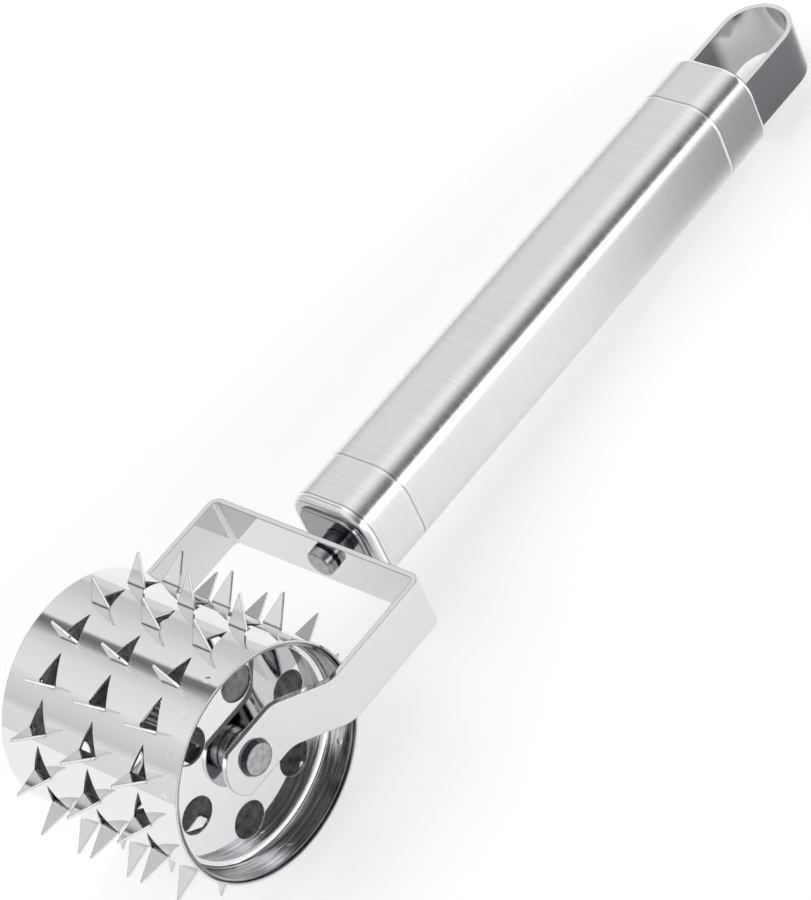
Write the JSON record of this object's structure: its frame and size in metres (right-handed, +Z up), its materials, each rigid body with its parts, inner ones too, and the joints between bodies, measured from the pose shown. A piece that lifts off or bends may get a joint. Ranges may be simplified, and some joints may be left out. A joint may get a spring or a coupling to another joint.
{
  "type": "rolling meat tenderizer",
  "caption": "Hand-held tool: a hollow sheet drum with folded pointed teeth rolls on an axle in a bent yoke, bolted to a rounded square handle with a hanging loop",
  "frame": {"origin": "centre of the object's box, on the table that it rests on", "axes": "+X from the drum towards the hanging loop, +Y along the drum's axle, +Z up"},
  "size_m": [0.2536, 0.0604, 0.0665],
  "materials": {
    "polished_steel": "mirror polished stainless sheet",
    "satin_steel": "satin, brushed round the handle",
    "plain_steel": "plain turned steel",
    "dark_steel": "darker, rougher hardware steel"
  },
  "bodies": {
    "handle_frame": {"axle": "plain_steel", "spacer_near": "plain_steel", "spacer_far": "plain_steel", "yoke": "polished_steel", "yoke_bolt": "dark_steel", "bolt_lock_washer": "dark_steel", "threaded_bush": "dark_steel", "front_plug": "polished_steel", "front_ferrule": "satin_steel", "front_sleeve": "plain_steel", "handle_tube": "satin_steel", "rear_sleeve": "plain_steel", "rear_cap": "satin_steel", "hanging_loop": "polished_steel"},
    "drum": {"drum_shell": "polished_steel", "drum_end_near": "polished_steel", "drum_end_far": "polished_steel"}
  },
  "joints": [
    {"name": "drum_spin", "type": "hinge", "parent": "handle_frame", "child": "drum", "pos_m": [-0.09354, 0, 0.03324], "axis": [0, 1, 0], "continuous": true}
  ]
}
